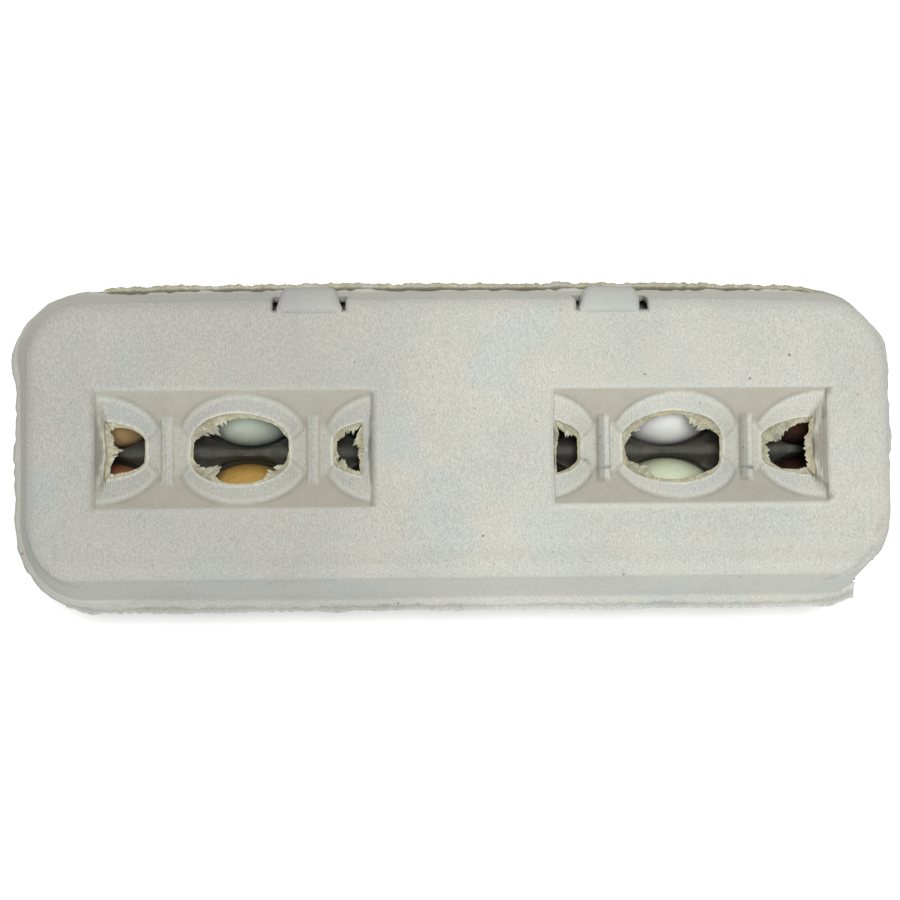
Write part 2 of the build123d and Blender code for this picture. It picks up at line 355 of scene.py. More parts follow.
def torn_material(name, light, dark, stain):
    """Torn pulp: soft fibres, cream and tan, with painted shade at the roots."""
    material, tree, shader = new_material(name)
    colour = mix(tree, ramp(tree, grain(tree, 3.2, 3), 0.38, 0.62), light, dark)
    fibres = ramp(tree, grain(tree, 0.5, 3, (1.0, 0.4, 1.0), 4.0), 0.35, 0.65)
    colour = shade(tree, colour, fibres, rgb(0.72, 0.70, 0.62), rgb(1.15, 1.15, 1.12))
    stained = ramp(tree, grain(tree, 7.0, 2, offset=8.0), 0.50, 0.66)
    colour = tint(tree, colour, stained, 0.45, stain)
    colour = tint(tree, colour, attribute(tree, "tip"), 0.35, rgb(0.78, 0.78, 0.71))
    colour = mix(tree, attribute(tree, "crack_and_painted_shade"), colour, rgb(0.09, 0.08, 0.06))
    tree.links.new(colour, shader.inputs["Base Color"])
    inputs = {"Height": fibres, "Strength": 0.5, "Distance": 0.3 * MM}
    tree.links.new(add_node(tree, "ShaderNodeBump", inputs).outputs["Normal"], shader.inputs["Normal"])
    shader.inputs["Roughness"].default_value = 0.95
    shader.inputs["Specular IOR Level"].default_value = 0.15
    return material


def shell_material(name, colour_a, colour_b, freckle, freckling, roughness):
    """Eggshell: a soft change of tone, pores, and freckles of another colour."""
    material, tree, shader = new_material(name)
    colour = mix(tree, ramp(tree, grain(tree, 14, 2), 0.35, 0.65), colour_a, colour_b)
    cloud = maths(tree, "MULTIPLY", ramp(tree, grain(tree, 4.0, 3, offset=5.0), 0.45, 0.75), 0.35 * freckling)
    colour = mix(tree, cloud, colour, freckle)
    spots = maths(tree, "MULTIPLY", specks(tree, 2.6, 0.62, 3.0), 0.7 * freckling)
    colour = mix(tree, spots, colour, freckle)
    tree.links.new(colour, shader.inputs["Base Color"])
    inputs = {"Height": grain(tree, 0.7, 3), "Strength": 0.12, "Distance": 0.15 * MM}
    tree.links.new(add_node(tree, "ShaderNodeBump", inputs).outputs["Normal"], shader.inputs["Normal"])
    shader.inputs["Roughness"].default_value = roughness
    shader.inputs["Specular IOR Level"].default_value = 0.4
    return material


LID_PULP = pulp_material("lid_pulp_fibre", rgb(0.462, 0.464, 0.422), rgb(0.424, 0.432, 0.396), marks=430.0)
TRAY_PULP = pulp_material("tray_pulp_fibre", rgb(0.42, 0.42, 0.375), rgb(0.36, 0.36, 0.32), bump=0.7)
FLAP_PULP = pulp_material("flap_pulp_fibre", rgb(0.43, 0.435, 0.41), rgb(0.39, 0.40, 0.38), bump=0.15,
                          mottling=0.45)
CREASE_PULP = pulp_material("crease_pulp_fibre", rgb(0.52, 0.53, 0.49), rgb(0.43, 0.43, 0.38), bump=0.8)
TORN_CREAM = torn_material(
    "torn_cream_fibre", rgb(0.44, 0.435, 0.345), rgb(0.33, 0.32, 0.235), rgb(0.40, 0.33, 0.20))
TORN_EDGE = torn_material(
    "torn_edge_fibre", rgb(0.45, 0.44, 0.35), rgb(0.34, 0.335, 0.25), rgb(0.50, 0.52, 0.52))


# ---------------------------------------------------------------- windows


class Window:
    """One opening in the lid: rounded above and below, straight at its ends."""

    def __init__(self, column, start, end, half_width):
        self.middle_x = (start + end) / 2
        self.column = column
        self.start = start
        self.end = end
        self.half_width = half_width
        self.half_length = max(abs(start - column), abs(end - column))

    def holds(self, x, v):
        """Whether points lie in the opening."""
        across = np.clip(1 - ((x - self.column) / self.half_length) ** 2, 0, 1)
        half = WINDOW_SIDE + (self.half_width - WINDOW_SIDE) * across ** 0.55
        return (np.abs(v) < half) & (x > self.start) & (x < self.end)

    def reach(self, angle):
        """How far the opening's edge is from its middle in each direction."""
        low = np.zeros_like(angle)
        high = np.full_like(angle, 40.0)
        for _ in range(24):
            half = (low + high) / 2
            inside = self.holds(self.middle_x + half * np.cos(angle), half * np.sin(angle))
            low = np.where(inside, half, low)
            high = np.where(inside, high, half)
        return (low + high) / 2

    def polar(self, x, v):
        """Direction and distance of points from the opening's middle."""
        return np.arctan2(v, x - self.middle_x), np.hypot(v, x - self.middle_x)


WINDOWS = {
    "left_outer": Window(COLUMNS[0], -116.2, -103.6, 9.7),
    "left_middle": Window(-72.7, -88.9, -56.5, 11.6),
    "left_inner": Window(COLUMNS[2], -42.3, -32.3, 9.6),
    "right_inner": Window(COLUMNS[3], 30.9, 39.6, 9.6),
    "right_middle": Window(70.2, 53.6, 86.8, 11.7),
    "right_outer": Window(COLUMNS[5], 100.4, 116.8, 9.7),
}


# ---------------------------------------------------------------- lid


def round_corners(x, y):
    """Moves points of the flat rectangle so that its corners become rounded."""
    x = x.copy()
    y = y.copy()
    for (sign_x, sign_y), (length, width) in FLAT_CORNERS.items():
        across = (sign_x * x - (FLAT_HALF_LENGTH - length)) / length
        along = (sign_y * y - (FLAT_HALF_WIDTH - width)) / width
        inside = (across > 0) & (along > 0)
        largest = np.maximum(across, along)
        shrink = largest / np.maximum(np.hypot(across, along), 1e-9)
        new_x = sign_x * (FLAT_HALF_LENGTH - length + across * shrink * length)
        new_y = sign_y * (FLAT_HALF_WIDTH - width + along * shrink * width)
        x = np.where(inside, new_x, x)
        y = np.where(inside, new_y, y)
    return x, y


def dome_height(x, v):
    """Height of the flattened domes that the lid's panels have over the eggs."""
    domes = np.full_like(x, -1e3)
    for column in COLUMNS:
        for row in (-ROW_PITCH / 2, ROW_PITCH / 2):
            away = (x - column) ** 2 + (v - row) ** 2
            dome = DOME_TOP_Z - DOME_RISE * (1 - np.sqrt(np.maximum(1 - away / DOME_SPREAD ** 2, 0)))
            domes = np.maximum(domes, dome)
    return domes


def panel_height(x, v):
    """Height of the lid's top with its panels, domes and ribs, then how far each point is on a slope with
    its own tone and painted shade, printed with wires, under a painted highlight, and under painted shade."""
    height = np.full_like(x, TOP_Z)
    slope = np.zeros_like(x)
    marks = np.zeros_like(x)
    pale = np.zeros_like(x)
    shaded = np.zeros_like(x)
    domes = dome_height(x, v)
    for (start, end), (low_v, high_v), (start_lean, end_lean) in PANELS:
        sides = np.minimum(v - low_v, high_v - v) * PANEL_SLOPE
        ends = np.minimum((x - start) / start_lean, (end - x) / end_lean) * PANEL_DEPTH
        depth = soft_min(soft_min(sides, ends, 0.5), np.full_like(x, PANEL_DEPTH), 0.6)
        trough = TOP_Z - np.maximum(depth, 0)
        inside = (x > start) & (x < end) & (v > low_v) & (v < high_v)
        covered = np.minimum(soft_max(trough, domes, 0.30), trough + np.maximum(depth, 0))
        bare = fade(trough - domes, -0.15, 0.25)
        # on_slope: where the pulp takes its slope tone and painted shade
        on_slope = bare * fade(depth, 0.1, 0.5) * (0.35 + 0.65 * fade(PANEL_DEPTH - depth, 0.1, 0.8))
        along_end = np.clip((np.abs(v) - 9.7) / 9.8, 0, 1)
        for away, lean in ((x - start, start_lean), (end - x, end_lean)):
            foot = lean * (1 - along_end)
            on_end = fade(away - foot, 0.35, -0.35) * (lean > 2.0) * fade(away, 0.0, 0.3)
            plane = TOP_Z - away / lean * PANEL_DEPTH
            covered = np.where((on_end > 0) & inside, np.minimum(covered, plane + 2.6), covered)
            on_slope = np.maximum(on_slope, on_end)
        for middle in RIBS:
            away = np.abs(x - middle)
            rib = RIB_TOP - np.maximum(away - RIB_HALF, 0) / RIB_SIDE * 3.0
            rib = np.where(np.abs(v) < RIB_HALF_LENGTH, rib, -1e3)
            on_slope = np.where(rib > covered, 0.0, on_slope)
            # painted shade on the band beside each rib, on its left side, most in the right panel; a painted
            # highlight along the rib's edges
            beside_rib = fade(away, RIB_HALF + 1.6, RIB_HALF + 0.5) * (rib < covered + 0.2)
            within = fade(np.abs(v), RIB_HALF_LENGTH + 0.8, RIB_HALF_LENGTH - 0.4)
            on_slope = np.maximum(on_slope, 0.9 * beside_rib * within)
            shaded = np.maximum(shaded, beside_rib * within * (x < middle) * (0.38 if middle > 0 else 0.12))
            painted_rib_highlight = np.exp(-((away - RIB_HALF) / 0.4) ** 2) * within
            pale = np.maximum(pale, 0.5 * painted_rib_highlight)
            covered = soft_max(covered, rib, 0.12)
        height = np.where(inside, np.minimum(covered, TOP_Z), height)
        slope = np.where(inside, on_slope, slope)
        on_dome = fade(domes - trough, 0.2, 1.0) * fade(PANEL_DEPTH - (TOP_Z - domes), -0.5, 2.0)
        # a painted highlight just inside each dome's outline and painted shade just outside it
        painted_dome_highlight = np.exp(-((domes - trough - 0.75) / 0.35) ** 2) * fade(depth, 0.4, 1.2)
        pale = np.where(inside, np.maximum(pale, 0.6 * painted_dome_highlight), pale)
        painted_dome_shadow = np.exp(-((domes - trough + 0.35) / 0.4) ** 2) * fade(depth, 0.8, 2.0)
        shaded = np.where(inside, np.maximum(shaded, 0.22 * painted_dome_shadow), shaded)
        # painted highlight along the panel's border
        border = np.minimum(np.minimum(x - start, end - x), np.minimum(v - low_v, high_v - v))
        pale = np.maximum(pale, 0.9 * np.exp(-((border + 0.5) / 0.45) ** 2))
        marks = np.where(inside, on_dome, marks)
    return height, slope, marks, pale, shaded


def top_wobble(points):
    """How far the pressed top is from a true plane: soft dents, and a band along the hinge side."""
    x, y = points[:, 0], points[:, 1]
    flat = points * (1, 1, 0)
    wobble = 0.28 * noise(flat, 58, 1) + 0.10 * noise(flat, 13, 2) + 0.035 * noise(flat, 3.1, 3)
    band = np.exp(-((y + 36.5 - 1.2 * noise_along(x, 40, 4)) / 2.2) ** 2)
    return wobble - 0.8 * band * (0.6 + 0.4 * noise_along(x, 25, 5))


def rim_bow(x, y):
    """The lid's latch side bows: its ends stay further in than its middle."""
    latch_side = fade(y, 25.0, 42.0)
    return latch_side * (0.9 - 1.7 * (x / FLAT_HALF_LENGTH) ** 2 * fade(np.abs(x), 40.0, 150.0))


def shoulder_and_wall():
    """Reach and height of each ring below the flat top, down to the rim."""
    rings = []
    reach, z, slope = 0.0, TOP_Z, 0.0
    for radius, end_slope in SHOULDER_ARCS:
        for part in range(1, 6):
            angle = math.radians(slope + (end_slope - slope) * part / 5)
            start = math.radians(slope)
            here = reach + radius * (math.sin(angle) - math.sin(start))
            rings.append((here, z - radius * (math.cos(start) - math.cos(angle))))
        reach, z = rings[-1]
        slope = end_slope
    steps = 9
    drop = z - RIM_Z - 1.0
    for part in range(1, steps + 1):
        down = drop * part / steps
        rings.append((reach + down * math.tan(WALL_DRAFT), z - down))
    return rings


def loop_normals(loop):
    """Outward directions at the points of a closed outline that runs anticlockwise."""
    ahead = np.roll(loop, -1, axis=0) - np.roll(loop, 1, axis=0)
    outward = np.column_stack([ahead[:, 1], -ahead[:, 0]])
    outward /= np.linalg.norm(outward, axis=1)[:, None]
    for _ in range(3):
        outward = outward + 0.5 * (np.roll(outward, 1, axis=0) + np.roll(outward, -1, axis=0))
        outward /= np.linalg.norm(outward, axis=1)[:, None]
    return outward


def lid_grid():
    """The grid lines of the lid's top, close together in the window panels."""
    key_x = [-FLAT_HALF_LENGTH, FLAT_HALF_LENGTH]
    for (start, end), _, (start_lean, end_lean) in PANELS:
        key_x += [start, start + start_lean, end - end_lean, end]
    for middle in RIBS:
        key_x += [middle + side * edge for side in (-1, 1) for edge in (RIB_HALF, RIB_HALF + RIB_SIDE)]
    key_x += [edge for slot in SLOTS for edge in slot]
    key_y = [-FLAT_HALF_WIDTH, FLAT_HALF_WIDTH]
    key_y += [ROWS_Y + side * 19.4 for side in (-1, 1)]
    key_y += [ROWS_Y + side * RIB_HALF_LENGTH for side in (-1, 1)]

    def step_x(x):
        in_panel = any(start - 2 < x < end + 2 for (start, end), _, _ in PANELS)
        return 0.66 if in_panel else 2.0

    def step_y(y):
        return 0.62 if abs(y - ROWS_Y) < 20.5 else 1.6

    return lines_through(sorted(key_x), step_x), lines_through(sorted(key_y), step_y)


def cut_windows(points, faces):
    """Removes the faces in each window and draws the faces around it up to its torn edge, with a painted
    highlight along it.
    """
    centres = points[faces].mean(axis=1)
    removed = np.zeros(len(faces), bool)
    edge = np.zeros(len(points))
    for number, window in enumerate(WINDOWS.values()):
        x, v = points[:, 0], points[:, 1] - ROWS_Y
        angle, distance = window.polar(x, v)
        around = angle * 12
        ragged = 0.10 * noise_along(around, 1.3, 60 + number) + 0.16 * noise_along(around, 4.0, 70 + number)
        limit = window.reach(angle) + ragged
        face_angle, face_distance = window.polar(centres[:, 0], centres[:, 1] - ROWS_Y)
        inside = face_distance < window.reach(face_angle)
        cut = np.zeros(len(points), bool)
        cut[faces[inside]] = True
        kept = np.zeros(len(points), bool)
        kept[faces[~inside]] = True
        border = cut & kept
        points[border, 0] = window.middle_x + limit[border] * np.cos(angle[border])
        points[border, 1] = ROWS_Y + limit[border] * np.sin(angle[border])
        # painted highlight along each window's edge
        edge = np.maximum(edge, fade(distance - limit, 1.1, 0.1))
        removed |= inside
    return faces[~removed], edge


CRUSHED_CORNER = ((143.5, -47.5), (12.0, 10.0))  # its place, and how far the crushing spreads in X and Y


def crumple(points):
    """Pushes in the carton's corner at the hinge end on the right."""
    (corner_x, corner_y), (spread_x, spread_y) = CRUSHED_CORNER
    away = np.hypot((points[:, 0] - corner_x) / spread_x, (points[:, 1] - corner_y) / spread_y)
    pressed = fade(away, 1.0, 0.1)
    creased = noise(points, 6.0, 30)
    inward = np.column_stack([-3.2 * pressed, 1.4 * pressed, -1.6 * pressed])
    return points + inward + np.column_stack([creased, creased, creased]) * pressed[:, None] * 0.4


def painted_shade_at_slots_and_crease(points):
    """Painted shade round the latch slots and along the crease at the foot of the hinge side's shoulder."""
    x, y, z = points.T
    at_slot = np.zeros(len(points))
    above_sill = fade(z, SLOT_BOTTOM_Z - 2.2, SLOT_BOTTOM_Z - 1.2)
    for start, end in SLOTS:
        beside = np.maximum(start - x, x - end)
        at_slot = np.maximum(at_slot, 0.55 * fade(beside, 0.9, 0.2) * above_sill)
    at_slot *= y > FLAT_HALF_WIDTH + 1.0
    uneven = 0.6 + 0.6 * noise_along(x, 17, 45)
    crease = 0.16 * np.exp(-((z - SHOULDER_CREASE_Z) / 0.8) ** 2) * (y < -FLAT_HALF_WIDTH) * uneven
    return np.maximum(at_slot, crease)


# Hairline cracks and creases: the points of each line in X and v, and how strong it is
CRACKS = (
    (((49.2, -6.3), (44.8, -6.7)), 0.55), (((42.0, -4.4), (39.9, -3.2)), 0.45),
    (((92.6, -6.6), (96.8, -6.8)), 0.6),
    (((112.4, -7.6), (116.5, -9.4), (119.4, -13.0), (119.9, -17.4)), 0.5),
    (((120.2, 18.6), (119.4, 14.0), (118.9, 9.0)), 0.5),
    (((-29.4, 17.8), (-29.0, 14.0), (-29.3, -8.0), (-29.3, -18.6)), 0.4),
    (((-118.9, 19.4), (-118.5, 8.0), (-118.8, -19.2)), 0.25),
    (((-140.8, -25.5), (-137.6, -36.0), (-131.0, -42.5), (-122.0, -44.8)), 0.16),
    (((-131.4, -31.0), (-131.0, -36.5)), 0.15),
    (((137.5, -24.0), (134.0, -33.0), (128.5, -38.5)), 0.14),
    (((136.0, -33.0), (129.0, -39.5), (119.5, -44.5)), 0.2),
)


def hairline_cracks(points):
    """How strongly each point is marked by the fine cracks and creases of the pulp."""
    x, v = points[:, 0], points[:, 1] - ROWS_Y
    wander = 0.35 * noise(points * (1, 1, 0), 2.5, 41)
    crack_and_painted_shade = np.zeros(len(points))
    for line, strength in CRACKS:
        for (x_a, v_a), (x_b, v_b) in zip(line, line[1:]):
            run_x, run_v = x_b - x_a, v_b - v_a
            part = np.clip(((x - x_a) * run_x + (v - v_a) * run_v) / (run_x ** 2 + run_v ** 2), 0, 1)
            away = np.hypot(x - x_a - part * run_x, v - v_a - part * run_v) + wander
            crack_and_painted_shade = np.maximum(crack_and_painted_shade, strength * fade(np.abs(away), 0.8, 0.15))
    return crack_and_painted_shade


def border_loop(rows, columns):
    """The numbers of the points round the edge of a grid, anticlockwise."""
    index = np.arange(rows * columns).reshape(rows, columns)
    return np.concatenate([index[0, :-1], index[:-1, -1], index[-1, :0:-1], index[:0:-1, 0]])


def lid_rings(loop, sag):
    """Rings of points from the flat top's edge down the shoulder and wall and out along the rim, with the
    height that each ring is planned for and the height where the wall ends."""
    outward = loop_normals(loop)
    length = np.concatenate([[0], np.cumsum(np.linalg.norm(np.diff(loop, axis=0), axis=1))])
    ragged = 0.35 * noise_along(length, 2.2, 11) + 0.45 * noise_along(length, 9.0, 12)
    on_front = fade(loop[:, 1], 30.0, 40.0)
    on_back = fade(-loop[:, 1], 30.0, 40.0)
    on_corner = fade(np.abs(loop[:, 0]), 120.0, 131.0) * fade(loop[:, 1], 20.0, 34.0)
    on_corner *= np.where(loop[:, 0] < 0, 2.3, 1.0)
    rim_reach = RIM_REACH + (FRONT_RIM_REACH - RIM_REACH) * on_front + 0.7 * on_back
    rim_reach -= fade(loop[:, 0], 118.0, 131.0) * (0.9 + 1.3 * fade(-loop[:, 1], 0.0, 25.0))
    wall = shoulder_and_wall()
    wall_reach, wall_z = wall[-1]
    rings = []
    heights = []
    for reach, z in wall:
        lowered = fade(z, RIM_Z, TOP_Z)
        spread = np.full(len(loop), reach) + 0.25 * noise_along(length, 30, 13) * (1 - lowered)
        spread += (on_corner - 1.1 * on_front) * (1 - lowered)
        rings.append(np.column_stack([loop + outward * spread[:, None], z + sag * lowered]))
        heights.append(z)
    for part in (0.25, 0.6, 1.0):
        spread = wall_reach + (rim_reach - wall_reach) * part + ragged * part + on_corner
        spread -= 1.1 * on_front * (1 - part)
        drop = (wall_z - RIM_Z) * math.sin(part * math.pi / 2)
        sagging = 0.25 * noise_along(length, 14, 14) * part
        rings.append(np.column_stack([loop + outward * spread[:, None], wall_z - drop + sagging]))
        heights.append(RIM_Z)
    return rings, heights, wall_z


def cut_slots(points, faces, planned_z):
    """Removes the faces of the two latch slots. They are chosen by the height planned for each point."""
    centres = points[faces].mean(axis=1)
    low = planned_z[faces].min(axis=1)
    high = planned_z[faces].max(axis=1)
    slot_top = TOP_Z - 0.05
    in_slot = np.zeros(len(faces), bool)
    for start, end in SLOTS:
        across = (centres[:, 0] > start) & (centres[:, 0] < end) & (centres[:, 1] > 0)
        in_slot |= across & (high < slot_top) & (low > SLOT_BOTTOM_Z - 1.0)
    return faces[~in_slot]


def make_lid():
    """The lid's whole pulp shell: top with panels and windows, shoulder, wall, slots and rim."""
    lines_x, lines_y = lid_grid()
    grid_x, grid_y = np.meshgrid(lines_x, lines_y)
    flat_x, flat_y = round_corners(grid_x.ravel(), grid_y.ravel())
    columns, rows = len(lines_x), len(lines_y)
    top = np.column_stack([flat_x, flat_y, np.zeros(len(flat_x))])
    top_faces, edge = cut_windows(top, strip_faces(rows, columns))
    height, slope, marks, pale, shaded = panel_height(top[:, 0], top[:, 1] - ROWS_Y)
    top[:, 2] = height + top_wobble(top)

    around = border_loop(rows, columns)
    loop = top[around, :2]
    rings, heights, wall_z = lid_rings(loop, top_wobble(top[around]))
    base = len(top)
    per_ring = len(loop)
    here = base + np.arange(per_ring)
    beside = base + (np.arange(per_ring) + 1) % per_ring
    joining_faces = np.column_stack([around, here, beside, np.roll(around, -1)])
    wall_faces = strip_faces(len(rings), per_ring, closed=True, first=base)[:, ::-1]
    points = np.vstack([top] + rings)
    faces = np.vstack([top_faces, joining_faces, wall_faces])
    planned_z = np.concatenate([np.full(base, TOP_Z + 9.0), np.repeat(heights, per_ring)])
    faces = cut_slots(points, faces, planned_z)
    points[:, 1] += rim_bow(points[:, 0], points[:, 1])
    points = crumple(points)

    def stretch_to_rings(values, rest):
        return np.concatenate([values, np.full(per_ring * len(rings), rest)])

    # painted light on the hinge and latch side walls and a painted highlight on the left end's rim line, both
    # in the pale colour
    lit = 0.15 * fade(points[:, 1], -40.0, -25.0) + 0.15 * fade(points[:, 1], 30.0, 42.0)
    wall = np.concatenate([np.zeros(base), np.repeat([fade(z, 66.5, 63.0) for z in heights], per_ring)]) * lit
    left_end = np.tile(fade(-loop[:, 0], 105.0, 125.0), len(heights))
    painted_rim_highlight = 0.5 * np.repeat([float(z == wall_z) for z in heights], per_ring) * left_end
    # cracks, with the painted shade of the panels
    lid_cracks_and_painted_shade = np.maximum(hairline_cracks(points), stretch_to_rings(shaded, 0.0))
    values = {
        "slope": stretch_to_rings(slope, 0.0),
        "edge": np.maximum(np.concatenate([np.maximum(edge, 0.5 * pale), painted_rim_highlight]), wall),
        "marks": stretch_to_rings(0.45 + 0.55 * marks, 0.15),
        "crack_and_painted_shade": np.maximum(lid_cracks_and_painted_shade, painted_shade_at_slots_and_crease(points)),
    }
    lid = mesh_piece("lid_shell", points, [faces], values)
    thicken(lid, PULP)
    lid.data.materials.append(LID_PULP)
    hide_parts("lid")
    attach(lid, "lid")


make_lid()


# ---------------------------------------------------------------- torn fringes in the windows

# How far the torn layer reaches in from a window's edge: (degrees from +X, reach) all the way round
FRINGES = {
    "left_middle": ((0, 0.3), (14, 0.5), (20, 1.3), (30, 0.7), (60, 1.2), (90, 1.5), (112, 2.0), (130, 3.2),
                    (146, 4.6), (158, 3.0), (170, 0.9), (190, 0.8), (200, 2.4), (212, 4.0), (224, 3.2),
                    (236, 1.2), (250, 0.6), (290, 0.5), (308, 0.8), (320, 2.2), (332, 3.6), (342, 1.6)),
    "left_outer": ((0, 0.3), (45, 0.4), (70, 0.5), (100, 1.2), (130, 3.6), (180, 3.8), (205, 3.6), (225, 3.0),
                   (250, 1.6), (290, 1.0), (330, 0.6)),
    "left_inner": ((0, 1.5), (25, 2.2), (50, 3.4), (75, 2.8), (110, 2.0), (150, 1.7), (180, 1.4), (215, 2.2),
                   (250, 2.8), (280, 1.6), (310, 1.6), (340, 1.7)),
    "right_inner": ((0, 0.8), (40, 1.0), (70, 2.0), (95, 3.2), (130, 1.8), (180, 0.5), (230, 0.5), (265, 0.8),
                    (300, 1.0), (330, 1.0)),
    "right_middle": ((0, 0.4), (12, 0.5), (24, 2.6), (34, 4.8), (46, 5.0), (60, 3.0), (72, 1.1), (95, 1.0),
                     (125, 1.4), (140, 2.4), (152, 3.4), (166, 2.6), (178, 0.8), (196, 2.2), (206, 4.4),
                     (216, 5.2), (226, 2.2), (240, 0.9), (280, 1.0), (305, 1.4), (322, 1.6), (338, 0.7)),
    "right_outer": ((0, 2.6), (30, 2.6), (55, 2.0), (80, 2.2), (100, 3.6), (122, 4.6), (145, 5.0), (160, 3.8),
                    (172, 1.2), (186, 2.8), (208, 3.2), (222, 1.6), (250, 0.4), (285, 1.4), (310, 3.4),
                    (335, 2.8)),
}
FRINGE_SPIKE = {"left_middle": 0.9, "left_outer": 0.45, "left_inner": 0.9, "right_inner": 0.7,
                "right_middle": 0.35, "right_outer": 0.28}


def make_fringe(name, window, seed):
    """The torn inner layer of the pulp, left hanging round one window's edge."""
    spokes = 420
    angle = np.linspace(0, 2 * math.pi, spokes, endpoint=False)
    given = np.array(FRINGES[name], float)
    reach = np.interp(np.degrees(angle), given[:, 0], given[:, 1], period=360)
    edge = window.reach(angle)
    length = np.cumsum(np.hypot(np.diff(edge, append=edge[0]), edge * 2 * math.pi / spokes))
    spike = noise_along(length, 0.45, seed) * 0.8 + noise_along(length, 1.3, seed + 1) * 0.6
    spikiness = FRINGE_SPIKE[name] * np.clip((reach - 1.2) / 2.2, 0.12, 0.8)
    reach = np.maximum(reach * (1 + spikiness * spike), 0.15)
    rings = []
    steps = 9
    for step in range(steps + 1):
        inward = -0.5 + (reach + 0.5) * step / steps
        distance = edge - inward
        x = window.middle_x + distance * np.cos(angle)
        v = distance * np.sin(angle)
        rim_x = window.middle_x + (edge + 0.5) * np.cos(angle)
        rim_v = (edge + 0.5) * np.sin(angle)
        height = panel_height(rim_x, rim_v)[0]
        ring = np.column_stack([x, v + ROWS_Y, height])
        hang = 0.12 * inward + 0.06 * np.maximum(inward, 0) ** 2
        curl = 0.45 * noise(ring * (1, 1, 0), 1.6, seed + 2) * np.clip(inward, 0, 1.6)
        ring[:, 2] = height - 0.75 - hang + curl
        rings.append(ring)
    points = np.vstack(rings)
    faces = strip_faces(steps + 1, spokes, closed=True)
    long_spike = np.clip((reach - 1.5) / 2, 0, 1)
    tip = np.concatenate([long_spike * (step / steps) ** 3 for step in range(steps + 1)])
    shadow = np.repeat([0.5, 0.4, 0.2, 0.05] + [0.0] * (steps - 3), spokes)
    fringe = mesh_piece(f"torn_fringe_{name}", points, [faces], {"tip": tip, "crack_and_painted_shade": shadow})
    thicken(fringe, 0.35)
    fringe.data.materials.append(TORN_CREAM)
    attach(fringe, "lid")


for number, (window_name, window) in enumerate(WINDOWS.items()):
    make_fringe(window_name, window, 100 + 10 * number)


# ---------------------------------------------------------------- tray

CUP_PROFILE = ((4.0, 1.95), (8.0, 1.95), (11.0, 2.1), (12.6, 2.7), (13.8, 4.4), (15.2, 8.0), (16.8, 12.0),
               (18.2, 15.5), (19.4, 19.0), (20.5, 23.0), (21.3, 28.0), (22.1, 33.5), (22.6, 37.5))
CUP_MOUTH = 22.9
TRAY_TOP = TRAY_HIGH[2]
TRAY_RIM_Z = 40.0
RIDGE_RISE = 6.4
RIDGE_HALF = 1.0  # half the width of the ridge's flat top where it passes between two eggs
FLANK_STEEPNESS = 5.0
POST_FOOT = 8.8
POST_TIP = 3.4
SIDE_POINTS = 28  # points along each side of a cup's square share of the tray
BLOCK_HALF_LENGTH = 3 * COLUMN_PITCH
BLOCK_HALF_WIDTH = ROW_PITCH
BLOCK_CORNER = 16.0
TRAY_RIM_REACH = 13.3
BACK_RIM_DRAWN_IN = 2.2  # leaves room for the lid's rim when the lid lies open


def tuck_corners(points):
    """Rounds the outer corners of the block of twelve cups, so that they stay within the rim."""
    out = points.copy()
    x = np.abs(out[:, 0]) - (BLOCK_HALF_LENGTH - BLOCK_CORNER)
    y = np.abs(out[:, 1] - ROWS_Y) - (BLOCK_HALF_WIDTH - BLOCK_CORNER)
    away = np.hypot(x, y)
    outside = (x > 0) & (y > 0) & (away > BLOCK_CORNER)
    pull = np.where(outside, BLOCK_CORNER / np.maximum(away, 1e-9), 1.0)
    out[:, 0] -= np.sign(out[:, 0]) * x * (1 - pull)
    out[:, 1] -= np.sign(out[:, 1] - ROWS_Y) * y * (1 - pull)
    return out


def land_height(points):
    """Height of the tray between its cups: the rim, the ridge along the middle and the posts."""
    x, v = points[:, 0], points[:, 1] - ROWS_Y
    ends = fade(np.abs(x), COLUMNS[-1] + 16.0, COLUMNS[-1] + 2.0)
    cap = TRAY_RIM_Z + RIDGE_RISE * fade(np.abs(v), 5.0, 0.8) * ends
    for column, following in zip(COLUMNS, COLUMNS[1:]):
        away = np.hypot(x - (column + following) / 2, v)
        post = TRAY_TOP - np.maximum(away - POST_TIP, 0) * (TRAY_TOP - TRAY_RIM_Z) / (POST_FOOT - POST_TIP)
        cap = soft_max(cap, post, 1.2)
    nearest = np.full(len(points), 1e3)
    for column in COLUMNS:
        nearest = np.minimum(nearest, np.hypot(x - column, ROW_PITCH / 2 - np.maximum(np.abs(v), RIDGE_HALF)))
        nearest = np.minimum(nearest, np.hypot(x - column, ROW_PITCH / 2 + np.abs(v)))
    flank = TRAY_RIM_Z - 1.0 + (nearest - CUP_MOUTH + RIDGE_HALF) * FLANK_STEEPNESS
    return soft_min(cap, flank, 0.8)


def square_edge():
    """Points round the edge of one cup's square share of the tray, from its middle."""
    along = np.linspace(-1, 1, SIDE_POINTS, endpoint=False)
    ones = np.ones(SIDE_POINTS)
    sides = [(along, -ones), (ones, along), (-along, ones), (-ones, -along)]
    across = np.concatenate([side[0] for side in sides]) * COLUMN_PITCH / 2
    up = np.concatenate([side[1] for side in sides]) * ROW_PITCH / 2
    return np.column_stack([across, up])


